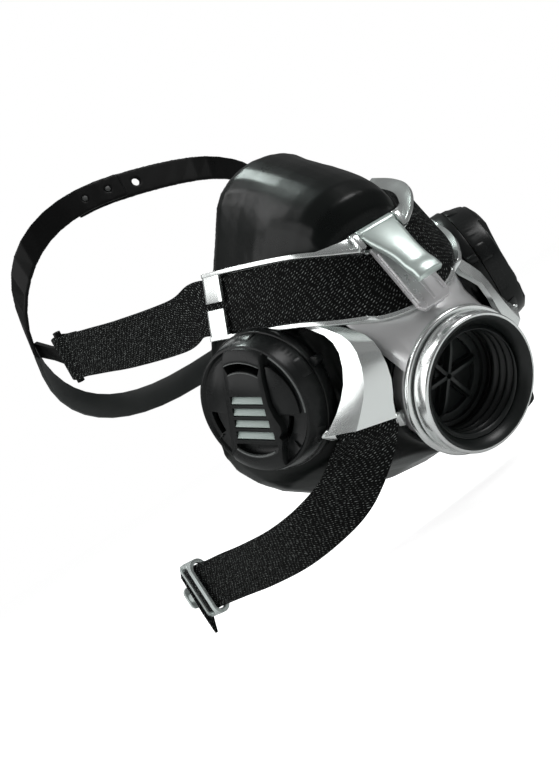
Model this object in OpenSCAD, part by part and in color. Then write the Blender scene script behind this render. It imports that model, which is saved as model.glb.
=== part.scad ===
// Half-mask respirator: rubber facepiece, channelled yoke, central screw connector,
// two side exhalation valves and a five-strap head harness.
// The wearer looks along -Y, +X is the wearer's left and +Z is up.
// The origin is the middle of the face seal.

/* [Facepiece] */
// Wall of the rubber cup
cup_wall = 2.2; // [1.6:0.1:2.8]
// Width that the sealing lip turns in behind the rim
lip_turn = 11; // [8:0.5:14]

/* [Connector] */
// Major radius of the inside screw thread
thread_r = 20.3; // [20.3:0.1:20.6]
// Length of the threaded bore
thread_len = 17; // [15:0.5:18]
// Wall of the front trim ring round its sleeve
front_ring_wall = 3.1; // [2.7:0.1:4]
// Wall of the rear trim ring round its sleeve
rear_ring_wall = 5.1; // [4.7:0.1:6]
// Downward pitch of the connector axis
connector_pitch = 25; // [22:1:28]
// Inhalation flap radius
inhale_flap_r = 16.5; // [15:0.5:17]

/* [Exhalation valves] */
// Face radius of a valve cover
cover_r = 24.5; // [23.5:0.25:25]
// Radius of the collar behind a cover
collar_r = 26.6; // [26:0.2:27]
// Sideways turn of a valve axis from straight ahead
valve_turn = 64; // [62:1:66]
// Exhalation flap radius
exhale_flap_r = 16.5; // [15:0.5:17]
// Travel of every flap on its post
flap_lift = 1.3; // [0.8:0.1:1.6]
// Turn of a cover between its seated place and its release place
cover_lock = 33; // [30:1:36]

/* [Straps] */
// Width of the woven straps
strap_w = 21.5; // [18:0.5:22]
// Thickness of the woven straps
strap_t = 1.6; // [1.2:0.1:1.8]
// Width of the smooth cradle bands
band_w = 13; // [11:0.5:15]
// Thickness of the cradle bands
band_t = 1.8; // [1.4:0.1:2.2]

/* [Cradle] */
// Half width of the cradle between its strap anchors
cradle_half = 77; // [74:1:82]
// Rise of the crown band above the anchors
crown_rise = 43; // [39:1:48]
// Drop of the nape band below the anchors
nape_drop = 47.5; // [43:0.5:52]
// Radius of an adjuster peg
peg_r = 1.9; // [1.5:0.1:2.2]

/* [Latch] */
// Length of the release lever below its pin
lever_len = 28; // [26:0.5:29]
// Radius of the lever's pin
lever_pin_r = 1.2; // [1:0.1:1.5]

/* [Hidden] */
$fn = 64;
fit_gap = 0.06;
run_gap = 0.08;
soft_gap = 0.3;

// ---- vectors and curves ----------------------------------------------------
function unit(v) = v / norm(v);
function mix(a, b, t) = a + (b - a) * t;
function smooth(t) = let (c = min(max(t, 0), 1)) c * c * (3 - 2 * c);
function knot(a, b, c, d, t) = 0.5 * ((2 * b) + (c - a) * t
    + (2 * a - 5 * b + 4 * c - d) * t * t + (3 * b - a - 3 * c + d) * t * t * t);
function curve_at(P, u) = let (n = len(P) - 1, i = min(floor(u * n), n - 1), t = u * n - i)
    knot(P[max(i - 1, 0)], P[i], P[i + 1], P[min(i + 2, n)], t);
function loop_at(P, u) = let (n = len(P), i = floor(u * n) % n, t = u * n - floor(u * n))
    knot(P[(i + n - 1) % n], P[i], P[(i + 1) % n], P[(i + 2) % n], t);

// A closed solid through a list of rings with the same number of points. A ring that isn't
// flat has its ends closed by the triangles in cap.
strip_cap = [[0, 1, 4], [0, 4, 5], [1, 2, 3], [1, 3, 4]];
module loft(rings, cap = []) {
    m = len(rings[0]);
    n = len(rings);
    ends = len(cap) > 0 ? cap : [[for (j = [0:m - 1]) j]];
    polyhedron([for (r = rings) each r], concat(
        [for (i = [0:n - 2], j = [0:m - 1]) [i * m + (j + 1) % m, i * m + j, (i + 1) * m + j]],
        [for (i = [0:n - 2], j = [0:m - 1])
            [(i + 1) * m + (j + 1) % m, i * m + (j + 1) % m, (i + 1) * m + j]],
        ends, [for (f = ends) [for (j = [len(f) - 1:-1:0]) (n - 1) * m + f[j]]]), convexity = 10);
}

module left_side() { children(); }
module right_side() { mirror([1, 0, 0]) children(); }

// ---- facepiece -------------------------------------------------------------
connector_at = [0, -55, -48];
connector_out = [0, -cos(connector_pitch), -sin(connector_pitch)];
connector_up = [0, -sin(connector_pitch), cos(connector_pitch)];
module at_connector() { translate(connector_at) rotate([90 + connector_pitch, 0, 0]) children(); }

// Half sections of the cup from the crown of the nose round to the chin
rim = [[0, -5, 68.5], [16.5, -2, 64], [25, 6, 51], [41, 12, 27], [58, 24, -6], [61, 28, -28],
    [42, 24, -50.5], [0, 15, -64]];
cheek = [[0, -14, 60.5], [13.5, -12, 57.5], [23.5, -7, 46], [36.5, -2, 26], [51.5, 3.7, -6], [53.3, 6.8, -28],
    [40, 4, -48.5], [0, -3, -62.8]];
flank = [[0, -30, 48], [12, -28, 46], [21, -25, 39], [30, -18, 23.5], [42, -15.2, -6], [43.6, -13.3, -28],
    [34, -11, -48], [0, -14, -62.5]];
front = [[0, -45, 32], [9.5, -43.5, 31], [17, -40, 26], [22.5, -30, 13], [31.5, -28, -8], [33, -26.5, -30],
    [25, -21, -50.5], [0, -20.5, -62.5]];
waist = [[0, -43, 11], [9, -42.5, 10.5], [16, -39, 8], [20.5, -32.5, 2], [29, -27.8, -13], [31.5, -24.5, -32],
    [22, -22.5, -51.5], [0, -23.5, -62.3]];
neck_r = 23.56;
neck_turn = [0, 18, 42, 68, 98, 125, 155, 180];
neck_s = 19.7;
function port_ring(r, s) = [for (a = neck_turn) connector_at - connector_out * s
    + connector_up * r * cos(a) + [1, 0, 0] * r * sin(a)];
lip = [for (p = rim) [p[0], p[1], p[2]] + [-sign(p[0]) * min(lip_turn, p[0]), 2, 0]
    - [0, 0, (p[2] - 5) / 70 * lip_turn]];
sections = [lip, [for (p = rim) p + [0, 3, 0]], cheek, flank, front, waist, port_ring(neck_r, neck_s)];
function whole(h) = concat(h, [for (i = [len(h) - 2:-1:1]) [-h[i][0], h[i][1], h[i][2]]]);
around = 42;
across = 18;
function cup_point(v, u) = curve_at([for (s = sections) loop_at(whole(s), u)], v);
function cup_normal(v, u) = let (e = 0.01, v0 = max(v - e, 0), v1 = min(v + e, 1))
    unit(cross(cup_point(v, u + e >= 1 ? u + e - 1 : u + e) - cup_point(v, u - e < 0 ? u - e + 1 : u - e),
        cup_point(v1, u) - cup_point(v0, u)));
cup_outer = [for (i = [0:across]) [for (j = [0:around - 1]) cup_point(i / across, j / around)]];
cup_inner = [for (i = [0:across]) [for (j = [0:around - 1])
    cup_outer[i][j] - cup_normal(i / across, j / around) * cup_wall]];

module cup_shell() {
    m = around;
    n = across + 1;
    function id(i, j, inner) = (inner ? n * m : 0) + i * m + j % m;
    polyhedron(concat([for (r = cup_outer) each r], [for (r = cup_inner) each r]), concat(
        [for (i = [0:n - 2], j = [0:m - 1]) each [
            [id(i, j + 1, false), id(i, j, false), id(i + 1, j, false)],
            [id(i + 1, j + 1, false), id(i, j + 1, false), id(i + 1, j, false)],
            [id(i, j, true), id(i, j + 1, true), id(i + 1, j, true)],
            [id(i, j + 1, true), id(i + 1, j + 1, true), id(i + 1, j, true)]]],
        [for (j = [0:m - 1]) each [
            [id(0, j, false), id(0, j + 1, false), id(0, j, true)],
            [id(0, j, true), id(0, j + 1, false), id(0, j + 1, true)],
            [id(n - 1, j + 1, false), id(n - 1, j, false), id(n - 1, j, true)],
            [id(n - 1, j + 1, true), id(n - 1, j + 1, false), id(n - 1, j, true)]]]), convexity = 12);
}

valve_at = [63.3, -15.6, -12];
module at_valve() { translate(valve_at) rotate([90, 0, valve_turn]) children(); }
port_r = 20.5;
boss_r = 24.5;
boss_front = -16.4;
boss_back = -22.4;
clamp_out = 1.8;

bead_r = 25.4;
bead_from = 21;
bead_to = 23.8;
retainer_t = 3.5;
module facepiece() color([0.09, 0.1, 0.1]) difference() {
    union() {
        cup_shell();
        for (side = [0, 1]) mirror([side, 0, 0]) at_valve() translate([0, 0, boss_back])
            cylinder(r = boss_r, h = boss_front - boss_back);
        // Thick bead round the neck's opening
        at_connector() translate([0, 0, -bead_to]) cylinder(r = bead_r, h = bead_to - bead_from);
    }
    at_connector() translate([0, 0, -60]) cylinder(r = neck_r + fit_gap, h = 60);
    at_connector() translate([0, 0, -bead_to - retainer_t - soft_gap])
        cylinder(r = bead_r + soft_gap, h = retainer_t + soft_gap);
    for (side = [0, 1]) mirror([side, 0, 0]) at_valve() {
        translate([0, 0, boss_back - 18]) cylinder(r = port_r + fit_gap, h = 40);
        translate([0, 0, boss_back - 18]) cylinder(r = port_r + clamp_out + soft_gap, h = 18);
        translate([0, 0, boss_front]) cylinder(r = collar_r + soft_gap, h = 20);
    }
}

// ---- yoke ------------------------------------------------------------------
// Middle line of the strap channel, from the front of the mask to the left guide
channel_path = [[0, -54, -1.5], [11, -52, 0.7], [22, -46.5, 6.8], [31.5, -36, 14.5], [39.5, -18.5, 22],
    [46.5, 3, 29.5]];
front_tilt = 13.3;
channel_lean = [-0.42, -0.355, 0.835];
floor_t = 1.5;
flange_t = 1.6;
flange_h = 4.2;
strap_gap = 0.45;
channel_half = strap_w / 2 + strap_gap + flange_t;
function flip(p) = [-p[0], p[1], p[2]];
function channel_rise(u) = unit(mix([0, sin(front_tilt), cos(front_tilt)], channel_lean, pow(u, 1.2)));
function channel_station(u) = let (p = curve_at(channel_path, u), e = 0.01,
    q = unit(curve_at(channel_path, min(u + e, 1)) - curve_at(channel_path, max(u - e, 0))),
    h = u < e ? [1, 0, 0] : q, a0 = channel_rise(u), a = unit(a0 - h * (a0 * h)))
    [p, a, unit(cross(h, a)), h];
// The same from the right guide at -1, over the front at 0, to the left guide at 1
function full_station(v) = let (st = channel_station(abs(v)))
    v < 0 ? [flip(st[0]), flip(st[1]), flip(st[2]), -flip(st[3])] : st;
// A point of the channel's cross section: w across the strap, n out of the face
function channel_point(st, w, n) = st[0] + st[1] * w + st[2] * n;
channel_floor = -strap_t - strap_gap;
channel_back = channel_floor - floor_t;
// The flanges dip in front, where the clamp plate lies over the strap
low_flange = 1.5;
dip_to = 0.24;
function flange_at(v) = mix(low_flange, flange_h, smooth((abs(v) - dip_to) / 0.05));
function channel_section(st, h) = [for (c = [
    [-channel_half, channel_back], [channel_half, channel_back],
    [channel_half, channel_floor + h], [channel_half - flange_t, channel_floor + h],
    [channel_half - flange_t, channel_floor], [flange_t - channel_half, channel_floor],
    [flange_t - channel_half, channel_floor + h], [-channel_half, channel_floor + h]])
    channel_point(st, c[0], c[1])];
channel_steps = 20;
module channel() loft([for (k = [-channel_steps:channel_steps])
    channel_section(full_station(k / channel_steps), flange_at(k / channel_steps))]);

// Guide at the end of the channel: two fingers that keep the strap down, with a slot between them
module guide() {
    finger_t = 1.6;
    slot = 2.6;
    lift = strap_gap + 0.05;
    guide_from = 0.945;
    reach = channel_half - 0.3;
    for (w = [[slot / 2, reach], [-reach, -slot / 2]])
        loft([for (u = [guide_from, 0.995]) let (st = channel_station(u))
            [for (c = [[w[0], lift], [w[1], lift], [w[1], lift + finger_t], [w[0], lift + finger_t]])
                channel_point(st, c[0], c[1])]]);
}

neck_back = 32;
neck_wall = 1.7;
liner_r = 21.8;
sleeve_r = liner_r + fit_gap;
front_ring_r = sleeve_r + front_ring_wall;
rear_ring_r = sleeve_r + rear_ring_wall;
cowl_s = 9.9;
cowl_r = rear_ring_r - 1;
cowl_t = 2;
cowl_spread = 56;
seam_gap = 0.35;
inside_point = [0, -10, -15];
function inward(p, d) = p + unit([inside_point[0] + p[0] * 0.3, inside_point[1], inside_point[2]] - p) * d;
function neck_point(angle, r, s) = connector_at - connector_out * s + connector_up * r * cos(angle)
    + [1, 0, 0] * r * sin(angle);
// Cowl between the channel's lower edge and the connector neck, one section at a time
function cowl_section(q) = let (
    st = channel_station(abs(q) * 0.4),
    top0 = channel_point(st, -channel_half + 0.6, channel_back - seam_gap),
    top = [sign(q) * top0[0], top0[1], top0[2]],
    foot = neck_point(q * cowl_spread, cowl_r - 0.5, cowl_s + 0.3),
    mid = inward(mix(top, foot, 0.5), 0.8 + 1.6 * abs(q)))
    [top, mid, foot, inward(foot, cowl_t), inward(mid, cowl_t), inward(top, cowl_t)];
cowl_steps = 8;

// Side leg from the channel down to the lower strap bar: outer and inner edge at each level
function channel_edge(u) = channel_point(channel_station(u), 0.3 - channel_half, channel_back - seam_gap - 0.2);
leg = [[channel_edge(0.64), channel_edge(0.44)], [[32, -36.5, -4], [23.8, -46.5, -11.5]],
    [[33, -40.5, -12], [24.8, -51.5, -19]], [[37, -38, -22], [26, -49.5, -29]],
    [[43, -32.5, -29.5], [28.3, -46, -36]], [[49, -27.5, -34], [29.6, -43.9, -41.5]]];
leg_t = 2;
leg_steps = 10;
function leg_section(u) = let (o = curve_at([for (l = leg) l[0]], u), i = curve_at([for (l = leg) l[1]], u),
    m = mix(o, i, 0.45), q = unit(m - inside_point))
    [o, m + q * 1.6, i, inward(i, leg_t), inward(m, leg_t - 0.6), inward(o, leg_t)];

// Lower strap bar: its middle and its direction, from the outer end to the connector
bar_dir = unit([-0.72, -0.61, -0.33]);
bar_mid = [35.2, -32.8, -38.6];
bar_r = 1.6;
cheek_gap = 0.7;
cheek_t = 1.8;
cheek_r = 2.9;
bar_len = strap_w + 2 * (cheek_gap + cheek_t) - 0.6;
module along_bar() {
    translate(bar_mid) rotate([0, acos(bar_dir[2]), atan2(bar_dir[1], bar_dir[0])]) children();
}
module bar_cheek(end) {
    place = end * (strap_w / 2 + cheek_gap + cheek_t / 2);
    reach = end > 0 ? leg[5][1] : leg[5][0];
    hull() {
        along_bar() translate([0, 0, place - cheek_t / 2]) cylinder(r = cheek_r, h = cheek_t, $fn = 32);
        translate(inward(mix(reach, bar_mid, -0.08), 1.3)) sphere(r = 1.1, $fn = 16);
    }
}

// Frame of the front face: z up the strap's width, -y out of the face
front_at = channel_path[0];
front_up = [0, sin(front_tilt), cos(front_tilt)];
module at_front() { translate(front_at) rotate([-front_tilt, 0, 0]) children(); }

// Headstock above the strap: a wall that rises to the lever's pin, with an ear on each side
pin_y = -1.7;
pin_z = 19.4;
lever_half = 8.2;
ear_gap = 0.4;
ear_t = 2.4;
lever_barrel = 2.4;
wall_t = 2;
wall_rise = 8.4;
wall_from = 0.255;
wall_to = 0.5;
wall_steps = 4;
module head_wall() loft([for (k = [0:wall_steps]) let (t = k / wall_steps,
    st = channel_station(mix(wall_from, wall_to, t)), back = channel_back + 0.1,
    foot = channel_point(st, channel_half - 1, back), h = front_up * mix(wall_rise, 1.1, smooth(t)))
    [foot, foot + h, foot + h + st[2] * wall_t, foot + st[2] * wall_t]]);
module lever_ear() at_front() translate([lever_half + ear_gap, 0, 0]) {
    translate([0, pin_y, pin_z]) rotate([0, 90, 0]) cylinder(r = lever_barrel, h = ear_t);
    translate([0, pin_y - lever_barrel, channel_half + 2.2])
        cube([ear_t, lever_barrel - pin_y + 4.4, pin_z - channel_half - 2.2]);
}

module strap_channel() color([0.74, 0.76, 0.76]) difference() {
    union() {
        channel();
        for (side = [0, 1]) mirror([side, 0, 0]) {
            guide();
            head_wall();
            lever_ear();
        }
    }
    at_front() translate([0, pin_y, pin_z]) rotate([0, 90, 0])
        cylinder(r = lever_pin_r + fit_gap, h = 4 * lever_half, center = true);
    for (side = [0, 1]) mirror([side, 0, 0]) valve_room();
}
module neck_cowl() color([0.6, 0.62, 0.62]) difference() {
    union() {
        loft([for (k = [-cowl_steps:cowl_steps]) cowl_section(k / cowl_steps)], strip_cap);
        at_connector() translate([0, 0, -neck_back]) cylinder(r = sleeve_r + neck_wall, h = neck_back - cowl_s);
        at_connector() translate([0, 0, -cowl_s - 2.4]) cylinder(r = cowl_r, h = 2.4);
    }
    at_connector() translate([0, 0, -neck_back - 10]) cylinder(r = sleeve_r, h = neck_back + 12);
}
// Leg from the channel to the lower strap bar, with the two cheeks that hold the bar
module side_leg() color([0.8, 0.82, 0.82]) difference() {
    union() {
        loft([for (k = [0:leg_steps]) leg_section(k / leg_steps)], strip_cap);
        for (end = [-1, 1]) bar_cheek(end);
    }
    along_bar() cylinder(r = bar_r + fit_gap, h = bar_len + 2, center = true);
    valve_room();
}

module lower_bar() color([0.8, 0.82, 0.82]) along_bar() cylinder(r = bar_r, h = bar_len, center = true);

// Room round a valve: first for its boss in the cup, then for the wider collar
valve_room_len = 30;
module valve_room() at_valve() {
    translate([0, 0, boss_back - 4]) cylinder(r = boss_r + soft_gap, h = valve_room_len);
    translate([0, 0, flange_lip - soft_gap]) cylinder(r = collar_r + soft_gap, h = valve_room_len);
}

// ---- connector -------------------------------------------------------------
ring_lip = 1.3;
lip_r = front_ring_r - ring_lip;
lip_t = 1.5;
gasket_in = 17.2;
gasket_t = 2;
seat_s = thread_len + gasket_t;
pocket_r = thread_r + 0.5;
ledge_t = 2;
module tube(r_out, r_in, front_s, back_s) at_connector() translate([0, 0, -back_s]) difference() {
    cylinder(r = r_out, h = back_s - front_s);
    translate([0, 0, -1]) cylinder(r = r_in, h = back_s - front_s + 2);
}

// Screw insert: the threads themselves are cut in the plain bore
module thread_liner() color([0.12, 0.13, 0.13]) union() {
    tube(lip_r, thread_r, 0, lip_t);
    tube(liner_r, thread_r, lip_t, thread_len);
    tube(liner_r, pocket_r, thread_len, seat_s);
    tube(liner_r, gasket_in, seat_s, seat_s + ledge_t);
}
ring_split = 6.2;
groove_w = 1.1;
module front_ring() color([0.82, 0.84, 0.84]) at_connector() rotate_extrude() polygon([
    [lip_r + fit_gap, -0.3], [front_ring_r - 0.5, -0.3], [front_ring_r, -0.9], [front_ring_r + 0.5, -ring_split],
    [sleeve_r, -ring_split], [sleeve_r, -lip_t - fit_gap], [lip_r + fit_gap, -lip_t - fit_gap]]);
module groove_seal() color([0.05, 0.05, 0.05])
    tube(front_ring_r - 0.9, sleeve_r, ring_split + fit_gap, ring_split + groove_w);
module rear_ring() color([0.82, 0.84, 0.84]) at_connector() rotate_extrude() polygon([
    [sleeve_r, -ring_split - groove_w - fit_gap], [rear_ring_r - 0.6, -ring_split - groove_w - fit_gap],
    [rear_ring_r, -ring_split - groove_w - 0.6], [rear_ring_r, -cowl_s + fit_gap], [sleeve_r, -cowl_s + fit_gap]]);
module thread_gasket() color([0.03, 0.03, 0.03])
    tube(pocket_r - fit_gap, gasket_in + 0.4, thread_len + fit_gap, seat_s);

spider_t = 2.2;
spider_s = seat_s + ledge_t + fit_gap;
post_r = 1.6;
module flap_seat(r_out, r_in, spokes, hub_r, t, post_len) {
    difference() {
        cylinder(r = r_out, h = t);
        translate([0, 0, -1]) cylinder(r = r_in, h = t + 2);
    }
    intersection() {
        cylinder(r = r_in + 0.5, h = t);
        for (k = [0:spokes - 1]) rotate([0, 0, k * 360 / spokes]) translate([0, -0.9, 0]) cube([r_out, 1.8, t]);
    }
    cylinder(r = hub_r, h = t);
    translate([0, 0, -post_len]) cylinder(r = post_r, h = post_len + 0.1);
}
flap_t = 1;
flap_gap = 0.1;
button_t = 1.2;
module inhale_spider() color([0.2, 0.21, 0.21]) at_connector() translate([0, 0, -spider_s - spider_t])
    flap_seat(liner_r - 0.1, 14.6, 6, 4, spider_t, flap_t + flap_lift + 2 * flap_gap + button_t);
module flap(r) difference() {
    cylinder(r = r, h = flap_t);
    translate([0, 0, -1]) cylinder(r = post_r + run_gap, h = flap_t + 2);
}
flap_s = spider_s + spider_t + flap_gap;
module inhale_flap() color([0.75, 0.72, 0.6]) at_connector() translate([0, 0, -flap_s - flap_t])
    flap(inhale_flap_r);
module inhale_button() color([0.12, 0.12, 0.12]) at_connector()
    translate([0, 0, -flap_s - flap_t - flap_lift - flap_gap - button_t]) difference() {
        cylinder(r = 3.6, h = button_t);
        translate([0, 0, -1]) cylinder(r = post_r + 0.02, h = button_t + 2);
    }
module retaining_ring() color([0.15, 0.16, 0.16])
    tube(bead_r, sleeve_r + neck_wall + fit_gap, bead_to + 0.1, bead_to + retainer_t);

// ---- front latch -----------------------------------------------------------
plate_top = 13.6;
plate_bottom = -15;
plate_half = 7.2;
plate_t = 2;
rib_w = 1.1;
rib_h = 0.8;
module clamp_plate() color([0.6, 0.61, 0.61]) at_front() union() {
    translate([0, -soft_gap, 0]) rotate([90, 0, 0]) linear_extrude(plate_t) polygon([
        [-plate_half, plate_top], [plate_half, plate_top], [plate_half, plate_bottom + 2],
        [plate_half - 1.5, plate_bottom], [1.5 - plate_half, plate_bottom], [-plate_half, plate_bottom + 2]]);
    // Rib along each side and a low one up the middle
    for (x = [0.6 - plate_half, plate_half - 0.6 - rib_w]) translate([x, -soft_gap - plate_t - rib_h, plate_bottom + 3])
        cube([rib_w, rib_h + 0.1, plate_top - plate_bottom - 6]);
    translate([-rib_w / 2, -soft_gap - plate_t - rib_h / 2, plate_bottom + 1.5])
        cube([rib_w, rib_h / 2 + 0.1, plate_top - plate_bottom - 9]);
    // Toe behind the plate's lower edge, that stands on the yoke
    translate([3 - plate_half, -soft_gap - 1, plate_bottom]) cube([2 * plate_half - 6, 1 + soft_gap + strap_t, 1.2]);
}

// Finger lever: a tapering tongue on a barrel, with a low crown along its middle
lever_lean = 14;
lever_t = 2;
tip_half = 5.2;
module at_lever() { at_front() translate([0, pin_y, pin_z]) rotate([-lever_lean, 0, 0]) children(); }
module latch_lever() color([0.7, 0.76, 0.74]) at_lever() difference() {
    union() {
        rotate([0, 90, 0]) cylinder(r = lever_barrel, h = 2 * lever_half, center = true);
        translate([0, lever_t - lever_barrel, 0]) rotate([90, 0, 0]) linear_extrude(lever_t) polygon([
            [-lever_half, 0], [lever_half, 0], [lever_half - 1.4, -5], [tip_half + 0.7, -lever_len + 7],
            [tip_half, -lever_len + 1.5], [tip_half - 1.5, -lever_len], [1.5 - tip_half, -lever_len],
            [-tip_half, -lever_len + 1.5], [-tip_half - 0.7, -lever_len + 7], [1.4 - lever_half, -5]]);
        translate([0, -lever_barrel, 0]) rotate([180, 0, 0]) linear_extrude(lever_len - 2) polygon([
            [-3, 0], [-1.6, 0.8], [1.6, 0.8], [3, 0]]);
    }
    rotate([0, 90, 0]) cylinder(r = lever_pin_r + run_gap, h = 4 * lever_half, center = true);
}
module latch_pin() color([0.8, 0.8, 0.8]) at_front() translate([0, pin_y, pin_z]) rotate([0, 90, 0])
    cylinder(r = lever_pin_r, h = 2 * (lever_half + ear_gap + ear_t), center = true);

// ---- exhalation valves -----------------------------------------------------
seat_z = -20.2;
housing_wall = 2;
flange_z = -11.2;
flange_lip = -16.1;
module valve_housing() color([0.1, 0.11, 0.11]) at_valve() difference() {
    union() {
        translate([0, 0, -24.6]) cylinder(r = port_r, h = 12.6);
        translate([0, 0, flange_lip]) cylinder(r = collar_r, h = flange_z - flange_lip);
        translate([0, 0, -24.6]) cylinder(r1 = port_r, r2 = port_r + clamp_out, h = clamp_out);
    }
    translate([0, 0, -30]) cylinder(r = port_r - housing_wall, h = 40);
}
module exhale_seat() color([0.13, 0.14, 0.14]) at_valve() translate([0, 0, seat_z]) {
    rotate([180, 0, 0]) translate([0, 0, -1.8])
        flap_seat(port_r - housing_wall, 14.2, 6, 3.6, 1.8, flap_t + flap_lift + 2 * flap_gap + button_t);
    translate([0, 0, 1.8 + flap_t + flap_lift + 2 * flap_gap]) cylinder(r = 3.2, h = button_t);
}
module exhale_flap() color([0.16, 0.16, 0.15]) at_valve() translate([0, 0, seat_z + 1.8 + flap_gap])
    flap(exhale_flap_r);

// Cover: a cap with a waisted grip across its face, four slanted louvres and arc vents
cover_wall = 1.7;
cover_face = 1.8;
grip_face = 0.2;
grip_outline = [[10.3, -cover_r], [9.1, cover_r], [-7.4, cover_r], [-7.6, 12.4], [-8.9, 3.5], [-10.8, -0.8],
    [-13, -3.8], [-13.6, -8], [-12.5, -13], [-12, -cover_r]];
louvre_low = -10.8;
louvre_pitch = 4.45;
louvre_lean = 6.5;
louvre_h = 3.2;
louvre_t = 0.9;
louvre_sunk = 1.1;
louvre_tilt = 28;
louvre_count = 4;
foot_r = 16.8;
foot_top = -12.3;
foot_deep = 2.6;
// The louvres grow longer towards the foot of the grip
function louvre_below(k) = louvre_count - 1 - k;
function louvre_from(k) = -7.1 - 0.2 * pow(louvre_below(k), 2);
function louvre_to(k) = 7.1 + 0.3 * louvre_below(k);
module arc_slot(r_in, r_out, from, to, h) rotate([0, 0, from]) rotate_extrude(angle = to - from)
    polygon([[r_in, 0], [r_out, 0], [r_out, h], [r_in, h]]);
module valve_cover() color([0.1, 0.1, 0.1]) at_valve() rotate([0, 0, cover_lock]) difference() {
    union() {
        rotate_extrude() polygon([[0, -3.6], [cover_r - 1.2, -3.6], [cover_r, -4.4], [cover_r + 1.5, flange_z + 0.35],
            [cover_r + 1.5 - cover_wall, flange_z + 0.35], [cover_r - cover_wall, -5.6], [0, -5.4]]);
        rotate_extrude() polygon([[cover_r - 2.6, -4], [cover_r - 1.4, -2.4], [cover_r - 0.6, -2.6], [cover_r, -4.4]]);
        intersection() {
            translate([0, 0, -4]) linear_extrude(4.4) polygon(grip_outline);
            rotate_extrude() polygon([[0, -4.2], [cover_r - 1, -4.2], [cover_r - 1.4, -1.2],
                [cover_r - 4, grip_face], [0, grip_face]]);
        }
    }
    // Louvre window
    rotate([0, 0, -louvre_lean]) for (k = [0:louvre_count - 1])
        translate([louvre_from(k), louvre_low + k * louvre_pitch, -7])
            cube([louvre_to(k) - louvre_from(k), louvre_h, 10]);
    // Crescent vent at the head of the grip, and one low on each side
    translate([0, 0, -7]) arc_slot(15.3, 18.3, 61, 112, 10);
    translate([0, 0, -7]) arc_slot(17.9, 20.6, -36, -9, 10);
    translate([0, 0, -7]) arc_slot(14.6, 16.8, 183, 215, 10);
    // Hollow in the foot of the grip
    rotate([0, 0, -louvre_lean]) intersection() {
        translate([0, 0, -foot_deep]) cylinder(r = foot_r, h = 10);
        translate([-9.5, foot_top - 10, -foot_deep]) cube([18.4, 10, 10]);
    }
}
module louvre() color([0.62, 0.66, 0.64]) at_valve() rotate([0, 0, cover_lock - louvre_lean])
    for (k = [0:louvre_count - 1]) translate([(louvre_from(k) + louvre_to(k)) / 2,
        louvre_low + k * louvre_pitch + louvre_h / 2, grip_face - louvre_sunk]) rotate([-louvre_tilt, 0, 0])
            cube([louvre_to(k) - louvre_from(k) - 2 * fit_gap, louvre_h - 0.3, louvre_t], center = true);

// ---- straps ----------------------------------------------------------------
module front_strap() color([0.07, 0.07, 0.07]) loft([for (k = [-channel_steps:channel_steps])
    let (st = full_station(k / channel_steps))
    [for (c = [[-1, -1], [1, -1], [1, 0], [-1, 0]]) channel_point(st, c[0] * strap_w / 2, c[1] * strap_t)]]);

guide_end = channel_station(1);
tee_at = [72, 118, 57];
tee_dir = unit([0, -0.35, 0.937]);
tee_r = 1.8;
tee_over = 2.2;
loop_wall = 1.5;
strap_heading = unit([0.206, 0.916, 0.343]);
rear_start = guide_end[0] - guide_end[2] * strap_t / 2 + guide_end[3] * 0.15;
rear_route = [rear_start, rear_start + guide_end[3] * 9, [52.5, 27, 32.6], [61.5, 65, 41.8], [67, 90, 49],
    tee_at - strap_heading * (tee_r + 1)];
rear_steps = 9;
// A woven band given its route and its width direction at both ends. It leaves square to the
// first direction and turns square to its own route over the first few steps.
ease_steps = 3;
module woven(route, first, last, steps) loft([for (k = [0:steps]) let (
    p = curve_at(route, k / steps), e = 0.02,
    h = unit(curve_at(route, min(k / steps + e, 1)) - curve_at(route, max(k / steps - e, 0))),
    a0 = unit(mix(first, last, smooth(k / steps))), a = unit(a0 - h * (a0 * h) * min(k / ease_steps, 1)),
    n = unit(cross(h, a)))
    [for (c = [[-1, -1], [1, -1], [1, 1], [-1, 1]]) p + a * c[0] * strap_w / 2 + n * c[1] * strap_t / 2]]);
module along_tee() translate(tee_at) rotate([atan2(0.35, 0.937), 0, 0]) children();
module rear_strap() color([0.07, 0.07, 0.07]) difference() {
    union() {
        woven(rear_route, guide_end[1], tee_dir, rear_steps);
        along_tee() cylinder(r = tee_r + run_gap + loop_wall, h = strap_w, center = true);
    }
    along_tee() cylinder(r = tee_r + run_gap, h = strap_w + 2, center = true);
    along_tee() translate([-2, 0, -stem_wide / 2 - soft_gap]) cube([8, 8, stem_wide + 2 * soft_gap]);
}

// ---- head cradle -----------------------------------------------------------
cradle_y = 144;
cradle_z = 71.5;
cradle_slope = 0.79;
crown_lean = 0.14;
crown_round = 2.5;
nape_round = 2.45;
band_lean = 0.2;
function arc_x(c, n) = cradle_half * sign(c) * pow(abs(c), 2 / n);
function arc_r(s, n) = pow(max(s, 0), 2 / n);
function cradle_point(x, z) = [x, cradle_y - cradle_slope * (z - cradle_z), z];
function crown_point(q) = let (x = arc_x(cos(q), crown_round))
    cradle_point(x, cradle_z + (crown_rise - crown_lean * x) * arc_r(sin(q), crown_round));
function nape_point(q) = cradle_point(arc_x(cos(q), nape_round), cradle_z - nape_drop * arc_r(sin(q), nape_round));
function band_rise(p) = unit([-band_lean * p[0] / cradle_half, 0, 1]);
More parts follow.
